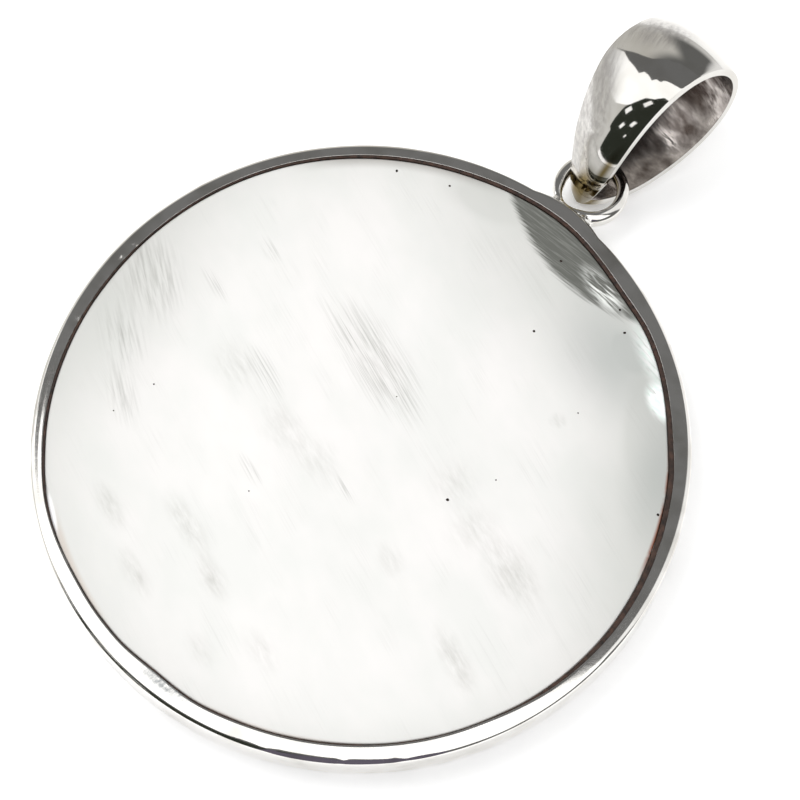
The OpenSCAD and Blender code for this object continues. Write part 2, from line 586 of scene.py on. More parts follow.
@dataclass(frozen=True)
class PearlShell:
    """The sawn and sanded back of a pearl oyster shell.

    Chalky white to pale grey with faint tints, the grey partly painted shade, satin where the sanding
    belt left it, and grey polished nacre with painted highlights where the slab runs out of white
    shell near the ring. Millimetres and degrees.
    """

    name: str = "sanded_pearl_shell"
    white: str = "#E9E7E5"
    cool: str = "#E2E2DF"
    clouds: Grain = Grain(7.0, 4.0, -25.0, 3.0, 0.35, 0.65)
    roughness: float = 0.42
    refraction: float = 1.53
    coat: float = 0.15
    coat_roughness: float = 0.2
    # Painted shade: outside this the whole back grows greyer, up to this strength
    whitest: Patch = Patch(1.3, -1.5, 29.0, 40.0, 41.0, 0.3)
    outer_shade: float = 0.5
    shade: str = "#AEB0AA"
    # Painted shade: soft greying towards the left, the top and the right
    shaded: Tint = Tint("#AEB0AA", 0.4, (
        Patch(-20.5, -2.5, 17.0, 8.0, 100.0), Patch(18.0, 9.0, 19.0, 8.0, 116.0),
        Patch(2.5, 20.5, 17.0, 12.5, -4.0), Patch(14.1, 13.3, 5.2, 1.9, -56.0),
        Patch(-5.1, 19.4, 4.3, 2.0, 16.0),
    ))
    # Deeper painted shade beside the glint, near the edge
    deep: Tint = Tint("#828A88", 0.4, (
        Patch(9.2, 15.6, 7.0, 5.0, -23.0), Patch(17.2, 11.2, 8.5, 3.4, -57.0),
        Patch(10.1, 16.9, 2.2, 1.3, -23.0),
    ))
    # Painted shade by the rim: how strongly the outermost part is greyed, and the distances where that
    # starts and is full
    edge_shade: float = 0.12
    edge_band: tuple[float, float] = (18.6, 21.6)
    # Sanding scratches in clusters, a tenth of a millimetre apart, and faint ones in wide clouds
    scratches: Grain = Grain(4.0, 0.1, -21.0, 3.0, 0.46, 0.68)
    scratched: Tint = Tint("#8F8F89", 0.5, (
        Patch(-3.0, 5.0, 7.0, 2.6, -18.0, 0.3), Patch(1.6, -3.5, 1.6, 0.6, -18.0),
        Patch(-14.1, 6.6, 1.6, 0.7, -18.0), Patch(-15.2, 2.1, 2.2, 0.6, -18.0),
        Patch(-4.2, -6.6, 1.8, 0.6, -17.0), Patch(-8.3, -0.5, 2.8, 1.0, -18.0),
    ))
    faint_clouds: Grain = Grain(5.0, 2.5, -25.0, 2.0, 0.5, 0.8)
    faintly_scratched: float = 0.17
    # Where the belt ran out over the edge, smudged and scratched another way
    left_scratches: Grain = Grain(2.6, 0.2, -36.0, 4.0, 0.42, 0.72)
    left_scratched: Tint = Tint("#8F8F89", 0.6, (
        Patch(-19.2, -0.2, 4.6, 2.8, -35.0, 0.2), Patch(-17.6, -4.9, 3.8, 2.2, -35.0, 0.1),
        Patch(-14.5, -8.2, 3.2, 1.4, -35.0),
    ))
    # Grey rubs with soft edges, and fainter ones
    rub_grain: Grain = Grain(1.2, 0.3, -20.0, 4.0, 0.3, 0.75)
    rubbed: Tint = Tint("#9C9B93", 0.5, (
        Patch(-5.2, -17.0, 2.7, 1.0, -19.0), Patch(-4.8, -12.2, 3.6, 1.2, -17.0),
        Patch(-1.1, -13.9, 2.5, 1.2, -19.0), Patch(14.9, -7.8, 3.8, 1.2, -23.0),
        Patch(14.0, -0.8, 3.8, 2.2, -19.0), Patch(-9.8, -14.6, 2.6, 1.0, -21.0),
    ))
    faintly_rubbed: Tint = Tint("#9C9B93", 0.3, (
        Patch(-3.0, 5.0, 6.0, 2.6, -18.0),
        Patch(-10.1, -1.5, 2.9, 2.3, -18.0), Patch(-4.4, -2.8, 3.5, 1.9, -19.0),
        Patch(-1.2, -3.1, 2.8, 1.9, -19.0), Patch(6.9, 1.7, 2.4, 2.4, -19.0),
        Patch(10.1, 0.0, 2.8, 2.5, -19.0), Patch(9.4, 9.7, 0.8, 0.7, 40.0, 0.4),
        Patch(4.7, -15.5, 2.4, 1.2, -17.0), Patch(1.7, -18.1, 2.0, 1.1, -17.0),
        Patch(7.2, -5.3, 1.9, 1.2, -19.0),
    ))
    # Polished nacre in silky bands
    nacre: str = "#646560"
    nacre_pale: str = "#93958F"
    nacre_silk: float = 0.55
    nacre_bands: Grain = Grain(2.4, 0.13, 0.0, 3.0, 0.46, 0.72)
    nacre_roughness: float = 0.25
    # It shows above a frayed line that bends like a parabola: the line's middle, its bend, and half
    # the width that it fades over
    nacre_middle: tuple[float, float] = (4.3, 18.0)
    nacre_bend: float = 0.043
    nacre_fade: float = 0.35
    nacre_fray: Grain = Grain(2.4, 0.13, 0.0, 3.0, 1.0, 0.0)
    # Painted highlight: streaked glints on the nacre
    nacre_bright: Tint = Tint("#F2F4F0", 1.0, (Patch(5.8, 19.2, 3.1, 1.1, -15.0, 0.2),))
    nacre_gleams: Grain = Grain(1.6, 0.14, -4.0, 3.0, 0.42, 0.6)
    # Painted highlights: glints on the nacre through the white shell with their strengths, streaked,
    # and green or white
    glints: tuple[tuple[Patch, float], ...] = (
        (Patch(14.0, 15.3, 2.0, 1.2, -27.0, 0.2), 1.6), (Patch(11.4, 17.5, 4.2, 1.2, -30.0), 0.7))
    glint_green: str = "#E4F6EE"
    glint_hues: Grain = Grain(0.7, 0.2, -10.0, 2.0, 0.35, 0.65)
    glint_streaks: Grain = Grain(1.5, 0.2, -12.0, 3.0, 0.28, 0.46)
    # Stains that the cement left along the edge, in blotches
    stained: Tint = Tint("#8A5843", 1.0, (Patch(18.9, 9.4, 6.0, 3.0, 116.0, 0.5),), (20.75, 21.0))
    blotches: Grain = Grain(0.8, 0.8, 0.0, 3.0, 0.25, 0.5)
    # Tan along the edge beside the cement: a stain, with painted shade next to the cement
    tanned: Tint = Tint("#B79C84", 0.35, (
        Patch(-8.4, -19.3, 6.0, 1.6, -23.0, 0.3), Patch(8.5, -19.3, 7.0, 1.6, 24.0, 0.3),
    ), (20.8, 21.2))
    # Painted shade along the edge at the top, beside the rim
    grimy: Tint = Tint("#8F8A84", 0.55, (Patch(-11.0, 17.6, 9.5, 3.0, 33.0, 0.4),), (20.5, 21.3))
    # The chip at the left edge: fresh shell, painted white as a highlight where its facet catches the
    # light
    chipped: Tint = Tint(WHITE, 1.0, (Patch(-12.5, -17.4, 2.2, 0.32, -34.0, 0.3),), (20.5, 20.6))
    # Fine relief of the sanding
    sanding: Grain = Grain(1.5, 0.08, -25.0)
    sanding_height: float = 0.0015

    def nacre_mask(self, finish: Finish) -> NodeSocket:
        """Builds a mask of the nacre's side of the bent line, with a frayed edge.

        Args:
            finish: The material in the making.

        Returns:
            The mask.
        """
        moved = finish.add("VectorMath", {"operation": "SUBTRACT"}, {
            0: finish.place, 1: (*self.nacre_middle, 0)})
        axes = finish.add("SeparateXYZ", None, {0: moved.outputs[0]})
        squared = finish.reckoned("POWER", axes.outputs["X"], 2.0)
        bent = finish.reckoned("MULTIPLY_ADD", squared, -self.nacre_bend, axes.outputs["Y"])
        frayed = finish.reckoned("ADD", bent, self.nacre_fray.value(finish))
        return finish.ranged(frayed, 0.5 - self.nacre_fade, 0.5 + self.nacre_fade, smooth=True)

    def sanded(self, finish: Finish) -> NodeSocket:
        """Builds the colour of the white shell with its painted shade, scratches and rubs.

        Args:
            finish: The material in the making.

        Returns:
            The colour.
        """
        clouds = self.clouds.value(finish)
        colour = finish.mixed(clouds, linear(self.white), linear(self.cool))
        # Painted shade: greyer outside the whitest oval, in the shaded and deep patches, and by the
        # rim
        outside = finish.reckoned("SUBTRACT", 1.0, self.whitest.mask(finish))
        greyed = finish.product(outside, self.outer_shade)
        colour = finish.mixed(greyed, colour, linear(self.shade))
        for tint in (self.shaded, self.deep):
            colour = tint.over(finish, colour)
        edge = finish.product(finish.beyond(*self.edge_band), self.edge_shade)
        colour = finish.mixed(edge, colour, linear(self.shade))
        lines = self.scratches.value(finish)
        streaks = self.left_scratches.value(finish)
        smears = self.rub_grain.value(finish)
        faint = finish.product(lines, self.faint_clouds.value(finish), self.faintly_scratched)
        colour = finish.mixed(faint, colour, linear(self.scratched.colour))
        for tint, marks in (
            (self.scratched, lines), (self.left_scratched, streaks),
            (self.rubbed, smears), (self.faintly_rubbed, smears),
        ):
            colour = tint.over(finish, colour, marks)
        return colour

    def polished(self, finish: Finish) -> NodeSocket:
        """Builds the colour of the nacre, with its painted highlight.

        Args:
            finish: The material in the making.

        Returns:
            The colour.
        """
        silky = finish.product(self.nacre_bands.value(finish), self.nacre_silk)
        nacre = finish.mixed(silky, linear(self.nacre), linear(self.nacre_pale))
        return self.nacre_bright.over(finish, nacre, self.nacre_gleams.value(finish))

    def build(self) -> Material:
        """Builds the material.

        Returns:
            The material.
        """
        finish = Finish(self.name)
        in_nacre = self.nacre_mask(finish)
        colour = finish.mixed(in_nacre, self.sanded(finish), self.polished(finish))
        # Painted highlights: the streaked glints, greenish to white
        hue = finish.mixed(self.glint_hues.value(finish), linear(self.glint_green), linear(WHITE))
        streaks = self.glint_streaks.value(finish)
        for patch, strength in self.glints:
            colour = finish.mixed(finish.product(streaks, patch.mask(finish), strength), colour, hue)
        colour = self.stained.over(finish, colour, self.blotches.value(finish))
        # Tan stain with painted shade, painted shade at the top edge, and the chip's painted highlight
        for tint in (self.tanned, self.grimy, self.chipped):
            colour = tint.over(finish, colour)
        return finish.surfaced("BsdfPrincipled", {
            "Base Color": colour, "IOR": self.refraction,
            "Roughness": finish.blended(in_nacre, self.roughness, self.nacre_roughness),
            "Normal": finish.raised(self.sanding.value(finish), self.sanding_height),
            "Coat Weight": self.coat, "Coat Roughness": self.coat_roughness})


@dataclass(frozen=True)
class Mottled:
    """A dull coloured mass with darker and lighter grains, such as cement or the dirt in a pit."""

    name: str
    dark: str
    light: str
    roughness: float = 0.75
    grain: Grain = Grain(0.35, 0.35, 0.0, 4.0, 0.3, 0.7)
    lumps: float = 0.03

    def build(self) -> Material:
        """Builds the material.

        Returns:
            The material.
        """
        finish = Finish(self.name)
        grains = self.grain.value(finish)
        return finish.surfaced("BsdfPrincipled", {
            "Base Color": finish.mixed(grains, linear(self.dark), linear(self.light)),
            "Roughness": self.roughness, "Normal": finish.raised(grains, self.lumps)})


def polar(place: Vector) -> tuple[float, float]:
    """Gives a place's direction round the disc in degrees and its distance from the axis."""
    return math.degrees(math.atan2(place.y, place.x)) % 360, math.hypot(place.x, place.y)


def bump_at(angle: float, middle: float, half_width: float) -> float:
    """Gives a smooth hump round a direction: 1 at its middle and 0 from half_width on."""
    away = abs((angle - middle + 180) % 360 - 180)
    return 1 - smooth_step(0, half_width, away)


def along_rows(rows: Pairs, angle: float) -> float:
    """Reads a value that changes smoothly round the disc.

    Args:
        rows: Directions in degrees, rising, each with the value there.
        angle: The direction to read at.

    Returns:
        The value.
    """
    closed = rows + ((rows[0][0] + 360, rows[0][1]),)
    turned = angle if angle >= closed[0][0] else angle + 360
    for (start, low), (end, high) in zip(closed, closed[1:]):
        if turned <= end:
            return low + (high - low) * smooth_step(start, end, turned)
    return closed[-1][1]


@dataclass(frozen=True)
class HandFitting:
    """How the shell's outline and the rim's inner edge wander, because the setter filed both by eye.

    Each row is a direction in degrees and the distance outwards in millimetres.
    """

    wander: Pairs = (
        (1, 0.15), (31, -0.08), (41, -0.22), (61, -0.02), (71, -0.19), (91, 0.25), (111, 0.10),
        (141, 0.16), (181, -0.05), (221, 0.17), (231, 0.24), (251, -0.13), (261, -0.17),
        (271, -0.34), (281, -0.17), (291, -0.24), (331, -0.15), (351, 0.11),
    )
    # How much closer to the rim the shell comes than its true circle would
    snug: Pairs = (
        (8, 0.02), (36, 0.08), (52, 0.15), (75, 0.17), (120, 0.17), (175, 0.17), (190, 0.1),
        (205, 0.04), (232, 0.05), (243, 0.15), (262, 0.11), (284, 0.1), (294, 0.15), (306, 0.14),
        (318, 0.2), (330, 0.24), (338, 0.22), (350, 0.1),
    )

    def offset(self, angle: float) -> float:
        """Gives the distance that the inner edge stands out of its circle, in millimetres."""
        return along_rows(self.wander, angle)

    def shell_offset(self, angle: float) -> float:
        """Gives the distance that the shell's outline stands out of its circle, in millimetres."""
        return self.offset(angle) + along_rows(self.snug, angle)


def spun_section(
    corners: tuple[float, float, float, float],
    bevels: tuple[tuple[bool, float, int], ...],
    cuts: int,
    steps: int,
) -> Object:
    """Models a ring by spinning an upright rectangle with rounded corners round the Z axis.

    Args:
        corners: The rectangle's least and greatest distance from the axis, and its lowest and
            highest point, in millimetres.
        bevels: For each side's rounding whether it is the outer side, its size in millimetres and
            its segments.
        cuts: How many cuts the top edge gets.
        steps: How many steps the spin has.

    Returns:
        The ring, not yet finished.
    """
    near, far, low, high = corners
    deselect_all()
    bpy.ops.mesh.primitive_plane_add(
        size=MM, location=((near + far) / 2 * MM, 0, (low + high) / 2 * MM),
        rotation=(math.pi / 2, 0, 0),
    )
    ring = bpy.context.object
    ring.scale = (far - near, high - low, 1)
    apply_transform()
    bpy.ops.object.mode_set(mode="EDIT")
    for outer_side, size, segments in bevels:
        side = far if outer_side else near
        select_vertices(ring, lambda place: abs(place.x - side) < NEAR)
        bpy.ops.mesh.bevel(
            affect="VERTICES", offset=size * MM, offset_type="OFFSET", segments=segments)
    select_vertices(ring, lambda place: place.z > high - TOUCH)
    bpy.ops.mesh.subdivide(number_cuts=cuts)
    bpy.ops.mesh.select_all(action="SELECT")
    bpy.ops.mesh.delete(type="ONLY_FACE")
    bpy.ops.mesh.select_all(action="SELECT")
    bpy.ops.mesh.spin(steps=steps, angle=2 * math.pi, center=(0, 0, 0), axis=(0, 0, 1))
    bpy.ops.mesh.select_all(action="SELECT")
    bpy.ops.mesh.remove_doubles(threshold=TOUCH * MM)
    bpy.ops.mesh.normals_make_consistent(inside=False)
    bpy.ops.object.mode_set(mode="OBJECT")
    return ring


@dataclass
class Rim:
    """The silver rim round the shell with the jump ring soldered to its edge. Millimetres."""

    fitting: HandFitting
    radius: float = 22.5
    height: float = 3.0
    width: float = 1.05
    corner: float = 0.28
    bevel: float = 0.016
    # How far the filed flat stands out at its middle
    crown: float = 0.004
    # How deep the flat's outer edge is filed down by direction, and how steeply
    worn: Pairs = (
        (0, 0.0), (280, 0.0), (286, 0.095), (292, 0.11), (294.5, 0.1), (297, 0.14), (301, 0.15),
        (306, 0.15), (307.5, 0.12), (309, 0.155), (316, 0.15), (318, 0.1), (320, 0.125), (327, 0.09),
        (333, 0.0), (359, 0.0),
    )
    worn_slope: float = 0.42
    # Where the flat was filed hollow and leans inwards: direction, half length in degrees, depth of
    # the hollow, and how much higher the outer side is
    hollow: tuple[float, float, float, float] = (221.0, 26.0, 0.016, 0.011)
    steps: int = 720
    # Dents along the flat's inner side: direction, half length in degrees, and depth
    dents: tuple[tuple[float, float, float], ...] = (
        (179.0, 1.8, 0.05), (182.6, 2.6, 0.06), (189.0, 1.5, 0.03), (197.0, 1.6, 0.03),
    )
    # Shares of the way across the flat where a dent starts to fade and where it is gone
    dent_fade: tuple[float, float] = (0.2, 0.75)
    # The pad of solder: how far it stands out, and its width along the rim
    pad_out: float = 0.38
    pad_width: float = 5.8
    # The jump ring: its place, mean radius, and its oval wire's width and height
    ring_place: tuple[float, float, float] = (-0.12, 25.27, 1.8)
    ring_radius: float = 2.31
    wire_width: float = 0.88
    wire_height: float = 1.2
    # How square the wire's section is, where 2 is an oval, and how far its top is crowned
    wire_squareness: float = 4.0
    wire_crown: float = 0.07
    # How steeply the wire's top was filed down outwards, most at lean_angle, as a share of the
    # distance
    wire_lean: float = 0.3
    lean_angle: float = 318.0
    # How much the wire is filed away inside, beside the pad: direction, spread and depth
    filed_inside: tuple[float, float, float] = (248.0, 48.0, 0.3)
    # Solder drawn up beside the ring: sideways place, distance from the axis, and half sizes
    fillets: Pairs = ((-1.25, 22.95), (1.05, 22.95))
    fillet_half: tuple[float, float, float] = (0.75, 0.42, 0.7)
    voxel: float = 0.05

    def pad_radius(self, angle: float) -> float:
        """Gives the distance of the rim's outside from the axis, with the pad of solder.

        Args:
            angle: The direction in degrees.

        Returns:
            The distance in millimetres.
        """
        half = self.pad_width / 2
        sag = self.radius + self.pad_out - math.sqrt(self.radius**2 - half**2)
        round_radius = (half**2 + sag**2) / (2 * sag)
        centre = self.radius + self.pad_out - round_radius
        turn = math.radians(angle)
        reach = round_radius**2 - (centre * math.cos(turn)) ** 2
        if math.sin(turn) <= 0 or reach <= 0:
            return self.radius
        return max(self.radius, centre * math.sin(turn) + math.sqrt(reach))

    def flat_rise(self, angle: float, part: float) -> float:
        """Gives how far the filed flat stands over its true level.

        Args:
            angle: The direction in degrees.
            part: The share of the way across the flat, from its inner side to its outer side.

        Returns:
            The height in millimetres, below zero in the hollow and the dents.
        """
        rise = 0.0
        if 0 < part < 1:
            middle, half, depth, lean = self.hollow
            hollow = bump_at(angle, middle, half)
            crown = self.crown - depth * hollow
            rise = crown * 4 * part * (1 - part) - lean * hollow * (1 - part)
        for middle, half, depth in self.dents:
            rise -= depth * bump_at(angle, middle, half) * (1 - smooth_step(*self.dent_fade, part))
        return rise

    def shaped(self, place: Vector) -> Vector:
        """Gives a point of the true ring its place on the handmade one.

        Args:
            place: The point in millimetres.

        Returns:
            The new place.
        """
        angle, distance = polar(place)
        inner = self.radius - self.width
        across = smooth_step(0, 1, (distance - inner) / (self.width - self.corner))
        out = self.fitting.offset(angle) * (1 - across)
        if distance > self.radius - self.corner - NEAR:
            out += self.pad_radius(angle) - self.radius
        rise = 0.0
        if place.z > self.height - self.corner:
            filed = self.height - along_rows(self.worn, angle)
            rise = min(0.0, filed + self.worn_slope * (self.radius - distance) - place.z)
        if place.z > self.height - TOUCH:
            part = (distance - inner - self.bevel) / (self.width - self.corner - self.bevel)
            rise += self.flat_rise(angle, part)
        scale = (distance + out) / distance
        return Vector((place.x * scale, place.y * scale, place.z + rise))

    def squared(self, place: Vector) -> Vector:
        """Gives a point of the round wire its place on the flattened one.

        Args:
            place: The point in millimetres.

        Returns:
            The new place.
        """
        centre = Vector(self.ring_place)
        flat = Vector((place.x - centre.x, place.y - centre.y, 0))
        side = (flat.length - self.ring_radius) / (self.wire_width / 2)
        up = (place.z - centre.z) / (self.wire_width / 2)
        power = self.wire_squareness
        grown = (abs(side) ** power + abs(up) ** power) ** (-1 / power)
        angle = polar(flat)[0]
        middle, spread, depth = self.filed_inside
        reach = self.ring_radius + side * grown * self.wire_width / 2
        reach += depth * bump_at(angle, middle, spread) * (1 - side * grown) / 2
        height = up * grown * (self.wire_height / 2 - self.wire_crown * (side * grown) ** 2)
        if up > 0:
            lean = self.wire_lean * max(0.0, math.cos(math.radians(angle - self.lean_angle)))
            height -= lean * side * grown * self.wire_width / 2 * up * grown
        return centre + flat.normalized() * reach + Vector((0, 0, height))

    def jump_ring(self) -> Object:
        """Models the ring of oval wire with the solder that ran up beside it.

        Returns:
            The ring, which reaches into the rim.
        """
        x, y, z = self.ring_place
        deselect_all()
        bpy.ops.mesh.primitive_torus_add(
            location=(x * MM, y * MM, z * MM), major_segments=120, minor_segments=32,
            major_radius=self.ring_radius * MM, minor_radius=self.wire_width / 2 * MM)
        ring = bpy.context.object
        apply_transform()
        move_vertices(ring, self.squared)
        lumps = [ring]
        for side, away in self.fillets:
            bpy.ops.mesh.primitive_ico_sphere_add(
                subdivisions=4, radius=MM, location=(side * MM, away * MM, z * MM))
            lumps.append(bpy.context.object)
            lumps[-1].scale = self.fillet_half
        joined = join(lumps)
        apply_transform()
        apply_modifier(joined, "REMESH", mode="VOXEL", voxel_size=self.voxel * MM)
        apply_modifier(joined, "SMOOTH", factor=0.5, iterations=8)
        return joined

    def build(self) -> Object:
        """Models the rim, gives it the marks of handwork and fuses the ring to it.

        Returns:
            The finished piece.
        """
        inner = self.radius - self.width
        rim = spun_section(
            (inner, self.radius, 0, self.height),
            ((True, self.corner, 6), (False, self.bevel, 2)), 4, self.steps)
        move_vertices(rim, self.shaped)
        combine(rim, self.jump_ring(), "UNION")
        return finish_mesh(rim, "rim_and_ring", smooth_deg=35)


@dataclass(frozen=True)
class Pit:
    """A small hole in the shell: its place and its half width and depth in millimetres."""

    x: float
    y: float
    size: float


@dataclass
class ShellSlab:
    """The slab of shell, with the outline that the setter filed and the worm holes in its back."""

    fitting: HandFitting
    radius: float = 21.13
    thickness: float = 2.85
    edge: float = 0.12
    shift: float = 0.13
    shift_angle: float = 236.0
    points: int = 720
    # The chip out of the edge: its direction, its spread in degrees, its reach and its raggedness
    chip_angle: float = 233.5
    chip_spread: float = 6.5
    chip: float = 0.3
    chip_ragged: float = 0.6
    # How far the pits' walls wander, as a share of their size
    pit_rough: float = 0.5
    # The strip of even faces round the back, inside its rounded edge
    back_strip: float = 0.05
    pits: tuple[Pit, ...] = (
        Pit(-11.37, 17.09, 0.11), Pit(-7.71, 18.61, 0.09), Pit(2.03, 19.16, 0.09),
        Pit(3.96, 13.79, 0.095), Pit(7.52, 18.89, 0.09), Pit(8.85, 17.74, 0.1),
        Pit(7.38, 0.44, 0.115), Pit(18.80, 8.75, 0.09), Pit(10.11, 11.0, 0.06),
        Pit(8.93, 3.63, 0.05), Pit(-13.43, -6.19, 0.055), Pit(-14.21, -9.42, 0.05),
        Pit(-3.26, -7.76, 0.05), Pit(-0.11, 3.9, 0.05),
    )

    def outline(self, angle: float) -> float:
        """Gives the distance of the slab's edge from the rim's axis, in millimetres."""
        off_centre = self.shift * math.cos(math.radians(angle - self.shift_angle))
        return self.radius + off_centre + self.fitting.shell_offset(angle)

    def filed(self, place: Vector) -> Vector:
        """Gives a point of the true disc its place on the filed one.

        Args:
            place: The point in millimetres.

        Returns:
            The new place.
        """
        angle, distance = polar(place)
        if distance < self.radius / 2:
            return place
        out = self.outline(angle) - self.radius
        if place.z > self.thickness - self.edge:
            chip = self.chip * bump_at(angle, self.chip_angle, self.chip_spread)
            ragged = 1 + self.chip_ragged * noise.noise(Vector((angle * 1.3, 0, 0)))
            out -= chip * ragged * (place.z - self.thickness + self.edge) / self.edge
        scale = (distance + out) / distance
        return Vector((place.x * scale, place.y * scale, place.z))

    def pit_tool(self) -> Object:
        """Models what is cut out for the pits: rough little balls at the slab's back.

        Returns:
            The balls as one object.
        """
        balls = []
        for pit in self.pits:
            deselect_all()
            bpy.ops.mesh.primitive_ico_sphere_add(
                subdivisions=3, radius=pit.size * MM,
                location=(pit.x * MM, pit.y * MM, self.thickness * MM))
            ball = bpy.context.object
            apply_transform()
            centre = Vector((pit.x, pit.y, self.thickness))

            def roughened(place: Vector) -> Vector:
                """Moves a ball's point in or out."""
                wander = self.pit_rough * noise.noise(place * 5 + centre)
                return centre + (place - centre) * (1 + wander)

            move_vertices(ball, roughened)
            balls.append(ball)
        return join(balls)

    def build(self, shell: Material, grime: Material) -> Object:
        """Models the slab and cuts the pits.

        Args:
            shell: The slab's finish.
            grime: The finish in the pits.

        Returns:
            The finished piece.
        """
        deselect_all()
        bpy.ops.mesh.primitive_circle_add(
            vertices=self.points, radius=self.radius * MM, fill_type="NGON")
        slab = bpy.context.object
        slab.data.materials.append(shell)
        bpy.ops.object.mode_set(mode="EDIT")
        bpy.ops.mesh.select_all(action="SELECT")
        bpy.ops.mesh.extrude_region_move(
            TRANSFORM_OT_translate={"value": (0, 0, self.thickness * MM)})
        bpy.ops.mesh.bevel(
            affect="EDGES", offset=self.edge * MM, offset_type="OFFSET", segments=4)
        select_vertices(slab, lambda place: place.z > self.thickness - TOUCH)
        bpy.ops.mesh.inset(thickness=self.back_strip * MM)
        bpy.ops.object.mode_set(mode="OBJECT")
        move_vertices(slab, self.filed)
        tool = self.pit_tool()
        tool.data.materials.append(grime)
        combine(slab, tool, "DIFFERENCE", material_mode="TRANSFER")
        return finish_mesh(slab, "shell_slab")


@dataclass
class Bail:
    """The tapered, domed loop of polished silver that the cord goes through.

    Lengths are in millimetres and angles in degrees, as in the part's source.
    """

    length: float = 14.7
    depth: float = 8.8
    taper: float = 0.7
    top_width: float = 7.0
    tip_width: float = 0.95
    dome: float = 0.6
    sheet: float = 0.52
    tip_length: float = 0.6
    place: tuple[float, float, float] = (-0.15, 24.42, 0.59)
    pitch: float = 32.2
    roll: float = 16.4
    turn: float = -1.3
    steps: int = 72
    across: int = 12
    edge_round: float = 0.1
    # How much fuller the front leg's dome is near the pointed end, as a share of the dome, and the
    # shares of the length where that starts, is full, starts to fall and is gone
    front_swell: float = 0.6
    swell_span: tuple[float, float, float, float] = (0.0, 0.06, 0.19, 0.79)
    # How thick the solder lies on the front leg's pointed end, and how far up the leg it reaches
    solder: float = 0.3
    solder_reach: float = 5.0
    # How much wider the front leg is on its left, as a share of its half width, and where
    left_bulge: float = 0.17
    bulge_span: tuple[float, float, float, float] = (0.02, 0.3, 0.65, 0.98)
    # How far the pointed end is bent to the left, and over which length
    tip_bend: float = 0.55
    tip_bend_length: float = 4.0
    # Over which length that end is rounded, and the share of its width that is left at its very end
    tip_round: float = 1.1
    tip_share: float = 0.35

    def leg_point(self, angle: float, start: float, length: float, depth: float) -> Vector:
        """Gives a point of a leg's line in the loop's own plane.

        Args:
            angle: From 0 at the pointed end to pi at the round top, and on down the back leg.
            start: Where the line starts along the loop.
            length: The line's length along the loop.
            depth: The line's whole depth.

        Returns:
            The point, with x across the sheet, y along the loop and z out of its front leg.
        """
        k = self.taper
        rise_max = 2 * ((k + 1) / (k + 2)) ** ((k + 1) / 2) / math.sqrt(k + 2)
        along = start + length * (1 - math.cos(angle)) / 2
        out = depth / 2 * math.sin(angle) * abs(math.sin(angle / 2)) ** k / rise_max
        return Vector((0, along, out))

    def dome_line(self) -> Object:
        """Models the line across a sheet one unit wide: an arc, spun from a single point.

        Returns:
            An object whose mesh is the arc, set back along +Y towards its two ends.
        """
        rise = self.dome / self.top_width
        radius = (0.25 + rise * rise) / (2 * rise)
        half_angle = math.asin(0.5 / radius)
        deselect_all()
        bpy.ops.mesh.primitive_plane_add(size=0.001, location=(-0.5, rise, 0))
        line = bpy.context.object
        apply_transform()
        bpy.ops.object.mode_set(mode="EDIT")
        bpy.ops.mesh.select_all(action="SELECT")
        bpy.ops.mesh.merge(type="CENTER")
        bpy.ops.mesh.spin(
            steps=self.across, angle=2 * half_angle, center=(0, radius, 0), axis=(0, 0, -1)
        )
        bpy.ops.mesh.select_all(action="SELECT")
        bpy.ops.mesh.remove_doubles(threshold=1e-5)
        bpy.ops.object.mode_set(mode="OBJECT")
        return line

    def stations(self, line: Object, inner: bool) -> list[Object]:
        """Copies the dome line to each station round the loop, for one face of the sheet.

        Args:
            line: The unit dome line.
            inner: True for the face inside the loop.

        Returns:
            The copies in order, each with its own mesh. The last one lies on the first.
        """
        copies = []
        for i in range(self.steps + 1):
            angle = 2 * math.pi * i / self.steps
            outer_point = self.leg_point(angle, 0, self.length, self.depth)
            inner_point = self.leg_point(
                angle,
                self.tip_length,
                self.length - self.tip_length - self.sheet,
                self.depth - 2 * self.sheet,
            )
            inward = (inner_point - outer_point).normalized()
            width = self.tip_width + (self.top_width - self.tip_width) * abs(math.sin(angle / 2))
            copy = line.copy()
            copy.data = line.data.copy()
            bpy.context.collection.objects.link(copy)
            across = Vector((1, 0, 0))
            turned = Matrix((across, inward, across.cross(inward))).transposed().to_4x4()
            base = inner_point if inner else outer_point
            copy.matrix_world = Matrix.Translation(base) @ turned @ Matrix.Scale(width, 4)
            copies.append(copy)
        return copies

    def skin(self, line: Object, inner: bool) -> Object:
        """Bridges the stations of one face of the sheet to a skin round the loop.

        Args:
            line: The unit dome line.
            inner: True for the face inside the loop.

        Returns:
            The skin, open at its two edges.
        """
        copies = self.stations(line, inner)
        count = len(line.data.vertices)
        deselect_all()
        for copy in copies:
            copy.select_set(True)
        bpy.context.view_layer.objects.active = copies[0]
        apply_transform()
        order = [copy.data.vertices[0].co.copy() for copy in copies]
        bpy.ops.object.join()
        skin = bpy.context.object
        firsts = self.chain_starts(skin, order, count)
        bpy.ops.object.mode_set(mode="EDIT")
        bpy.ops.mesh.select_mode(type="VERT")
        for first, second in zip(firsts, firsts[1:]):
            mesh = bmesh.from_edit_mesh(skin.data)
            mesh.verts.ensure_lookup_table()
            bpy.ops.mesh.select_all(action="DESELECT")
            for start in (first, second):
                for k in range(count):
                    mesh.verts[start + k].select = True
            mesh.select_flush_mode()
            for edge in mesh.edges:
                ends = sorted(v.index for v in edge.verts)
                edge.select = any(
                    start <= ends[0] and ends[1] < start + count for start in (first, second))
            bmesh.update_edit_mesh(skin.data)
            bpy.ops.mesh.bridge_edge_loops()
        bpy.ops.mesh.select_all(action="SELECT")
        bpy.ops.mesh.remove_doubles(threshold=1e-4)
        bpy.ops.object.mode_set(mode="OBJECT")
        return skin

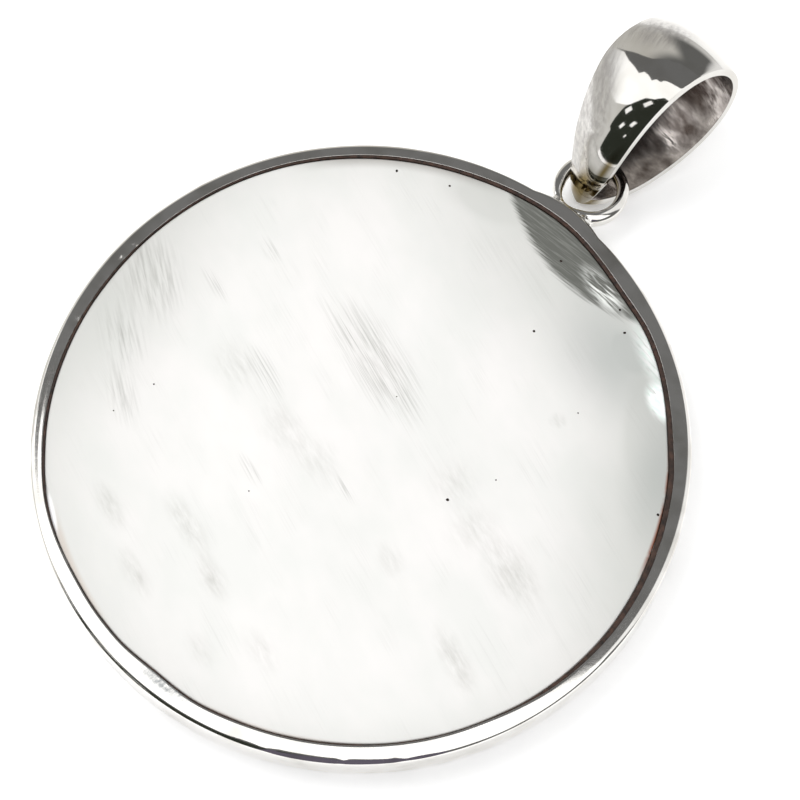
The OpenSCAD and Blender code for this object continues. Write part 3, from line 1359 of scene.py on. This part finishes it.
    @staticmethod
    def chain_starts(skin: Object, order: list[Vector], count: int) -> list[int]:
        """Finds where each station's points start in the joined mesh.

        Args:
            skin: The joined mesh object.
            order: Each station's first point, in the order round the loop.
            count: How many points a station has.

        Returns:
            The index of each station's first point.
        """
        blocks: dict[tuple[float, ...], list[int]] = {}
        for k in range(0, len(skin.data.vertices), count):
            key = tuple(round(c, 4) for c in skin.data.vertices[k].co)
            blocks.setdefault(key, []).append(k)
        return [blocks[tuple(round(c, 4) for c in point)].pop() for point in order]

    def shape_front(self, bail: Object) -> None:
        """Makes the front leg fuller where it narrows, lays on the solder and rounds the pointed end.

        Args:
            bail: The closed mesh in the loop's own directions, one unit to the millimetre.
        """
        for vert in bail.data.vertices:
            along = max(0.0, vert.co.y / self.length)
            if vert.groups and vert.co.z > 0:
                width = self.tip_width + (self.top_width - self.tip_width) * math.sqrt(along)
                side = 2 * vert.co.x / width
                dome = self.dome * width / self.top_width * (1 - side * side)
                thin = max(0.0, 1 - vert.co.y / self.solder_reach) ** 2 * max(0.0, 1 - side * side)
                vert.co.z += self.front_swell * hill(self.swell_span, along) * dome
                vert.co.z += self.solder * thin * smooth_step(*self.swell_span[:2], along)
            if vert.co.z > 0 and vert.co.x < 0:
                vert.co.x *= 1 + self.left_bulge * hill(self.bulge_span, along)
            near = min(max(vert.co.y, 0.0) / self.tip_round, 1.0)
            rounded = math.sqrt(near * (2 - near))
            vert.co.x *= self.tip_share + (1 - self.tip_share) * rounded
            vert.co.x -= self.tip_bend * max(0.0, 1 - max(vert.co.y, 0.0) / self.tip_bend_length) ** 2

    def build(self, outside: Material, inside: Material) -> Object:
        """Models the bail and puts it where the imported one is.

        Args:
            outside: The finish of the outer face and the edges.
            inside: The finish of the inner face.

        Returns:
            The finished piece.
        """
        line = self.dome_line()
        outer = self.skin(line, inner=False)
        outer.data.materials.append(outside)
        outer.vertex_groups.new(name="outer_face").add(range(len(outer.data.vertices)), 1.0, "REPLACE")
        inner = self.skin(line, inner=True)
        inner.data.materials.append(inside)
        bpy.data.objects.remove(line)
        bail = join([outer, inner])
        bpy.ops.object.mode_set(mode="EDIT")
        for side in (-1, 1):
            mesh = bmesh.from_edit_mesh(bail.data)
            bpy.ops.mesh.select_all(action="DESELECT")
            for edge in mesh.edges:
                if edge.is_boundary and side * edge.verts[0].co.x > 0:
                    edge.select_set(True)
            bmesh.update_edit_mesh(bail.data)
            bpy.ops.mesh.bridge_edge_loops()
        bpy.ops.mesh.select_all(action="SELECT")
        bpy.ops.mesh.normals_make_consistent(inside=False)
        bpy.ops.object.mode_set(mode="OBJECT")
        self.shape_front(bail)
        placed = (
            Matrix.Translation(Vector(self.place))
            @ Matrix.Rotation(math.radians(self.turn), 4, "Z")
            @ Matrix.Rotation(math.radians(self.pitch), 4, "X")
            @ Matrix.Rotation(math.radians(-self.roll), 4, "Y")
        )
        bail.matrix_world = Matrix.Scale(MM, 4) @ placed
        make_active(bail)
        apply_transform()
        apply_modifier(
            bail, "BEVEL", width=self.edge_round * MM, segments=2, limit_method="ANGLE",
            angle_limit=math.radians(55),
        )
        apply_modifier(bail, "SUBSURF", levels=2, render_levels=2)
        return finish_mesh(bail, "bail_loop", smooth_deg=60, sliver=0.005)


@dataclass
class CementLine:
    """The setting cement that shows as a dark line between the shell and the rim. Millimetres."""

    fitting: HandFitting
    slab: ShellSlab
    inner_radius: float = 21.45
    low: float = 0.24
    high: float = 2.95
    gap: float = 0.02
    # How high its lumps stand, and how far round the line they are from each other
    lump: float = 0.04
    lump_spacing: float = 0.6
    steps: int = 720

    def squeezed(self, place: Vector) -> Vector:
        """Gives a point of an even ring its place between the shell and the rim.

        Args:
            place: The point in millimetres.

        Returns:
            The new place.
        """
        angle, distance = polar(place)
        start = self.slab.outline(angle) + self.gap
        end = self.inner_radius + self.fitting.offset(angle) - self.gap
        part = (distance - self.slab.radius) / (self.inner_radius - self.slab.radius)
        scale = (start + part * (end - start)) / distance
        rise = 0.0
        if place.z > self.high - TOUCH and 0.01 < part < 0.99:
            rise = self.lump * noise.noise(place / self.lump_spacing)
        return Vector((place.x * scale, place.y * scale, place.z + rise))

    def build(self) -> Object:
        """Models the cement.

        Returns:
            The finished piece.
        """
        line = spun_section(
            (self.slab.radius, self.inner_radius, self.low, self.high), (), 3, self.steps)
        move_vertices(line, self.squeezed)
        return finish_mesh(line, "cement_line")


@dataclass
class PhotoCamera:
    """The camera that took the photograph, fitted to the rim's edges in it.

    Angles are in degrees and lengths in millimetres. The aim is where the picture's middle lies,
    right and up of the disc's centre as the camera sees them.
    """

    azimuth: float = 41.06
    elevation: float = 68.36
    roll: float = -0.66
    distance: float = 157.0
    aim: tuple[float, float] = (2.66, 3.65)
    field_of_view: float = 20.0
    sensor: float = 36.0

    def axes(self) -> tuple[Vector, Vector, Vector]:
        """Gives the camera's right, up and forward directions."""
        turn = math.radians(self.azimuth)
        tilt = math.radians(self.elevation)
        flat = Vector((-math.sin(turn), math.cos(turn), 0))
        right = Vector((math.cos(turn), math.sin(turn), 0))
        forward = flat * math.cos(tilt) - Vector((0, 0, math.sin(tilt)))
        up = right.cross(forward)
        c, s = math.cos(math.radians(self.roll)), math.sin(math.radians(self.roll))
        return right * c + up * s, up * c - right * s, forward

    def build(self) -> None:
        """Adds the camera and makes it the scene's."""
        right, up, forward = self.axes()
        place = right * self.aim[0] + up * self.aim[1] - forward * self.distance
        data = bpy.data.cameras.new("photo_camera")
        data.sensor_width = self.sensor
        data.lens = self.sensor / 2 / math.tan(math.radians(self.field_of_view / 2))
        data.clip_start = 0.01
        data.clip_end = 10
        camera = bpy.data.objects.new("photo_camera", data)
        bpy.context.scene.collection.objects.link(camera)
        turned = Matrix((right, up, -forward)).transposed().to_4x4()
        camera.matrix_world = Matrix.Translation(place * MM) @ turned
        bpy.context.scene.camera = camera


@dataclass(frozen=True)
class Card:
    """A flat sheet of light or shade that only shows in the silver. Points are in millimetres.

    Its light is full at fade_from and falls to fade_share of it at fade_to, both along X.
    """

    name: str
    points: tuple[tuple[float, float, float], ...]
    colour: str
    strength: float
    fade_from: float = 0.0
    fade_to: float = -1.0
    fade_share: float = 1.0

    def build(self) -> None:
        """Models the sheet and lights it."""
        mesh = bpy.data.meshes.new(self.name)
        mesh.from_pydata([Vector(point) * MM for point in self.points], [], [range(len(self.points))])
        card = bpy.data.objects.new(self.name, mesh)
        bpy.context.scene.collection.objects.link(card)
        finish = Finish(self.name)
        across = finish.add("SeparateXYZ", None, {0: finish.place}).outputs["X"]
        strength = finish.ranged(
            across, self.fade_from, self.fade_to, self.strength, self.strength * self.fade_share)
        mesh.materials.append(
            finish.surfaced("Emission", {"Color": linear(self.colour), "Strength": strength}))
        card.visible_camera = False
        card.visible_diffuse = False
        card.visible_shadow = False
        card.visible_transmission = False


@dataclass(frozen=True)
class SkyPanel:
    """A soft-edged stretch of the studio's walls as the silver mirrors it.

    Directions are counted round the disc as everywhere here, and heights above the horizon, in
    degrees. The stretch is full inside its edges and gone soft degrees outside them.
    """

    start: float
    end: float
    low: float
    high: float
    colour: str
    soft: float

    def mask(self, recipe: Recipe, turn: NodeSocket, height: NodeSocket) -> NodeSocket:
        """Builds the stretch's mask.

        Args:
            recipe: The recipe of the studio's light.
            turn: The direction round the disc in degrees.
            height: The height above the horizon in degrees.

        Returns:
            The mask.
        """
        return recipe.product(*(
            recipe.ranged(value, edge + away, edge, smooth=True) for value, edge, away in (
                (turn, self.start, -self.soft), (turn, self.end, self.soft),
                (height, self.low, -self.soft), (height, self.high, self.soft))))


@dataclass
class Studio:
    """The soft white studio: floor, surroundings, lamp and the sheets that the silver mirrors.

    Lengths are in millimetres. Directions and heights are in degrees, as seen from the bail's front.
    """

    bail_front: tuple[float, float, float] = (0.0, 33.0, 7.0)
    floor_size: float = 4000.0
    floor_colour: str = "#F8F8F8"
    # Light of the floor's own, so that it stays white up to the pendant
    floor_glow: float = 0.2
    # The light that falls on matt things from all round, and the white that the lens sees
    soft_light: float = 0.97
    backdrop_light: float = 1.0
    # The walls that the silver mirrors, and their brighter stretches
    wall_colour: str = "#6C6C6B"
    panels: tuple[SkyPanel, ...] = (
        SkyPanel(132, 250, -30, 38, "#D4D2CD", 16.0),
        SkyPanel(84, 132, -30, 6, "#DAD9D7", 12.0),
        SkyPanel(180, 240, -30, 16, "#E2E1DE", 16.0),
        SkyPanel(25, 90, -30, 74, WHITE, 6.0),
    )
    # The lamp's direction, height and distance, its size, and its power in watts
    lamp_place: tuple[float, float, float] = (195, 50, 300)
    lamp_size: float = 200.0
    lamp_power: float = 0.35
    # The roof's height, and its outlines in X and Y: the ragged edge between its bright and its dark
    # part, and how far in X the dark part follows it
    roof: float = 125.0
    ragged_edge: Pairs = (
        (-262, 54), (-200, 26), (-152, 13), (-128, 3), (-110, 13), (-93, 11), (-75, 2), (-66, 10),
        (-54, 9), (-49, 17), (-38, 20), (-24, 20.5), (8, 27), (60, 31), (160, 31),
    )
    dark_end: float = 13.0
    # Lower edge of the bright part and upper edge of the dark one
    bright_edge: Pairs = (
        (160, -45), (60, -45), (-27, -25), (-42, -41), (-64, -49), (-82, -69), (-107, -94),
        (-127, -106), (-240, -150), (-900, -150), (-900, 90),
    )
    dark_edge: Pairs = (
        (13, 34), (14, 104), (-37, 96), (-49, 93), (-63, 84), (-81, 81), (-93, 71), (-112, 60),
        (-141, 58), (-192, 61), (-260, 62), (-425, 74),
    )
    # Outline of the dark room behind the camera: directions and heights
    room: Pairs = (
        (240, -2), (237, 5), (235, 11), (232, 17), (230, 24), (228, 31), (230, 40), (229, 45),
        (237, 53), (243, 61), (284, 66), (284, -6),
    )
    # The greyer side of that room
    side_room: Pairs = (
        (284, -6), (284, 66), (322, 62), (326, 20), (322, -5),
    )
    room_distance: float = 420.0
    # Its windows: direction, height, and half size in degrees, and their corners in half sizes
    windows: tuple[tuple[float, float, float], ...] = (
        (235, 32.5, 3.2), (242.5, 47.5, 3.6), (246, 22.5, 2.3), (255.5, 28.5, 2.5), (259.5, 18.5, 1.1),
    )
    window_corners: Pairs = ((-1, -0.8), (0.8, -1), (1, 0.9), (-0.8, 1))
    window_distance: float = 250.0
    # The grey wall left of the table, and its distance
    wall: Pairs = ((172, -6), (170, 12), (240, 12), (243, -6))
    wall_distance: float = 58.0

    def toward(self, turn: float, height: float, distance: float) -> tuple[float, float, float]:
        """Gives the point at a direction, a height and a distance from the bail's front."""
        turned = Euler((0, -math.radians(height), math.radians(turn))).to_matrix()
        return tuple(Vector(self.bail_front) + turned @ Vector((distance, 0, 0)))

    def around(self, directions: Pairs, distance: float) -> tuple[tuple[float, float, float], ...]:
        """Gives the points at several directions and heights and one distance."""
        return tuple(self.toward(turn, height, distance) for turn, height in directions)

    def floor(self) -> None:
        """Adds the plain pale floor."""
        deselect_all()
        bpy.ops.mesh.primitive_plane_add(size=self.floor_size * MM)
        floor = bpy.context.object
        floor.name = "floor"
        finish = Finish("matt_white_board")
        tooth = Grain(0.8, 0.8).value(finish)
        floor.data.materials.append(finish.surfaced("BsdfPrincipled", {
            "Base Color": linear(self.floor_colour), "Roughness": 0.9,
            "Normal": finish.raised(tooth, 0.01),
            "Emission Color": linear(WHITE), "Emission Strength": self.floor_glow}))

    def surroundings(self) -> None:
        """Lights the scene from all round, and gives the silver walls to mirror."""
        world = bpy.data.worlds.new("studio")
        bpy.context.scene.world = world
        recipe = Recipe(world)
        way = recipe.add("TexCoord").outputs["Generated"]
        axes = recipe.add("SeparateXYZ", None, {0: way})
        turn = recipe.reckoned("ARCTAN2", axes.outputs["Y"], axes.outputs["X"])
        turn = recipe.reckoned("FLOORED_MODULO", recipe.reckoned("DEGREES", turn), 360.0)
        height = recipe.reckoned("DEGREES", recipe.reckoned("ARCSINE", axes.outputs["Z"]))
        walls = linear(self.wall_colour)
        for panel in self.panels:
            walls = recipe.mixed(panel.mask(recipe, turn, height), walls, linear(panel.colour))
        ray = recipe.add("LightPath")
        soft, mirrored, backdrop = (
            recipe.add("Background", None, {"Color": colour, "Strength": strength}).outputs[0]
            for colour, strength in (
                (linear(WHITE), self.soft_light), (walls, 1.0), (linear(WHITE), self.backdrop_light)))
        lit = recipe.add("MixShader", None, {0: ray.outputs["Is Glossy Ray"], 1: soft, 2: mirrored})
        seen = recipe.add("MixShader", None, {
            0: ray.outputs["Is Camera Ray"], 1: lit.outputs[0], 2: backdrop})
        recipe.add("OutputWorld", None, {"Surface": seen.outputs[0]})

    def lamp(self) -> None:
        """Adds the one soft lamp that throws the shadows."""
        data = bpy.data.lights.new("softbox", "AREA")
        data.size = self.lamp_size * MM
        data.energy = self.lamp_power
        lamp = bpy.data.objects.new("softbox", data)
        bpy.context.scene.collection.objects.link(lamp)
        place = Vector(self.toward(*self.lamp_place)) * MM
        turned = place.to_track_quat("Z", "Y").to_matrix().to_4x4()
        lamp.matrix_world = Matrix.Translation(place) @ turned
        lamp.visible_glossy = False

    def cards(self) -> None:
        """Hangs the sheets that the silver mirrors."""
        bright = self.ragged_edge + self.bright_edge
        dark = tuple(point for point in self.ragged_edge if point[0] < self.dark_end) + self.dark_edge
        sheets = [
            Card("bright_roof", tuple((x, y, self.roof) for x, y in bright), WHITE, 1.5,
                 fade_from=-170.0, fade_to=-400.0, fade_share=0.5),
            Card("dark_roof", tuple((x, y, self.roof + 1) for x, y in dark), WHITE, 0.17),
            Card("dark_room", self.around(self.room, self.room_distance), "#151713", 4.0),
            Card("grey_room", self.around(self.side_room, self.room_distance), "#625D6A", 1.0),
            Card("grey_wall", self.around(self.wall, self.wall_distance), "#E2E1DE", 1.0),
        ]
        for number, (turn, height, half) in enumerate(self.windows):
            corners = tuple(
                (turn + right * half, height + up * half) for right, up in self.window_corners)
            sheets.append(
                Card(f"window_{number}", self.around(corners, self.window_distance), WHITE, 1.3))
        for sheet in sheets:
            sheet.build()

    def build(self) -> None:
        """Sets up the whole studio."""
        self.floor()
        self.surroundings()
        self.lamp()
        self.cards()
        bpy.context.scene.view_settings.view_transform = "Standard"


def place_piece(piece: Object, node: str) -> None:
    """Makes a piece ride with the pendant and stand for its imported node.

    Args:
        piece: The finished piece.
        node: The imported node's name.
    """
    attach(piece, "root")
    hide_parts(node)
    LOG.info("%s: %d faces", piece.name, len(piece.data.polygons))


def main() -> None:
    """Builds the pieces in order, dresses them and lights them."""
    logging.basicConfig(level=logging.INFO, format="%(name)s: %(message)s")
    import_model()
    PhotoCamera().build()

    fitting = HandFitting()
    slab = ShellSlab(fitting)
    shell = slab.build(PearlShell().build(), Mottled("pit_dirt", "#1E1814", "#4A3A30").build())
    place_piece(shell, "shell_disc")

    cement = CementLine(fitting, slab).build()
    cement.data.materials.append(Mottled("brown_setting_cement", "#1E1713", "#4A3328").build())
    place_piece(cement, "cement")

    rim = Rim(fitting).build()
    strip = BuffedSilver(
        "buffed_silver_strip", colour="#F0EEEA",
        dull=(Patch(1.5, -21.3, 2.8, 0.6, 4.0, 0.3),), dull_colour="#A6A9AA",
        dull_grain=Grain(0.5, 0.3, 70.0, 3.0, 0.25, 0.65),
        # Painted shade: the inside of the jump ring darkened brown
        browned=Tint("#7A6C49", 1.0, (Patch(-0.12, 25.27, 2.06, 2.06, 0.0, 0.92),)))
    rim.data.materials.append(strip.build())
    place_piece(rim, "bezel")

    sheet = BuffedSilver(
        "buffed_silver_sheet", colour="#DCDAD6", roughness=0.05,
        # Buffing haze on the bail's left flank and top; its grey is also painted shade that dims the
        # reflection there
        dull=(Patch(-2.9, 28.6, 5.6, 1.7, 114.0, 0.4), Patch(-2.2, 34.6, 3.4, 2.0, 20.0, 0.3)),
        dull_colour="#B4B1AE", dull_roughness=0.25,
        dull_grain=Grain(2.4, 0.3, 104.0, 3.0, 0.25, 0.65),
        browned=Tint("#7A6C49", 1.0, (
            Patch(-0.8, 24.6, 1.4, 1.0, 40.0, 0.3), Patch(0.45, 25.7, 2.0, 0.5, 74.0))))
    bail = Bail().build(sheet.build(), TarnishedSilver().build())
    place_piece(bail, "bail")

    Studio().build()


if __name__ == "__main__":
    main()
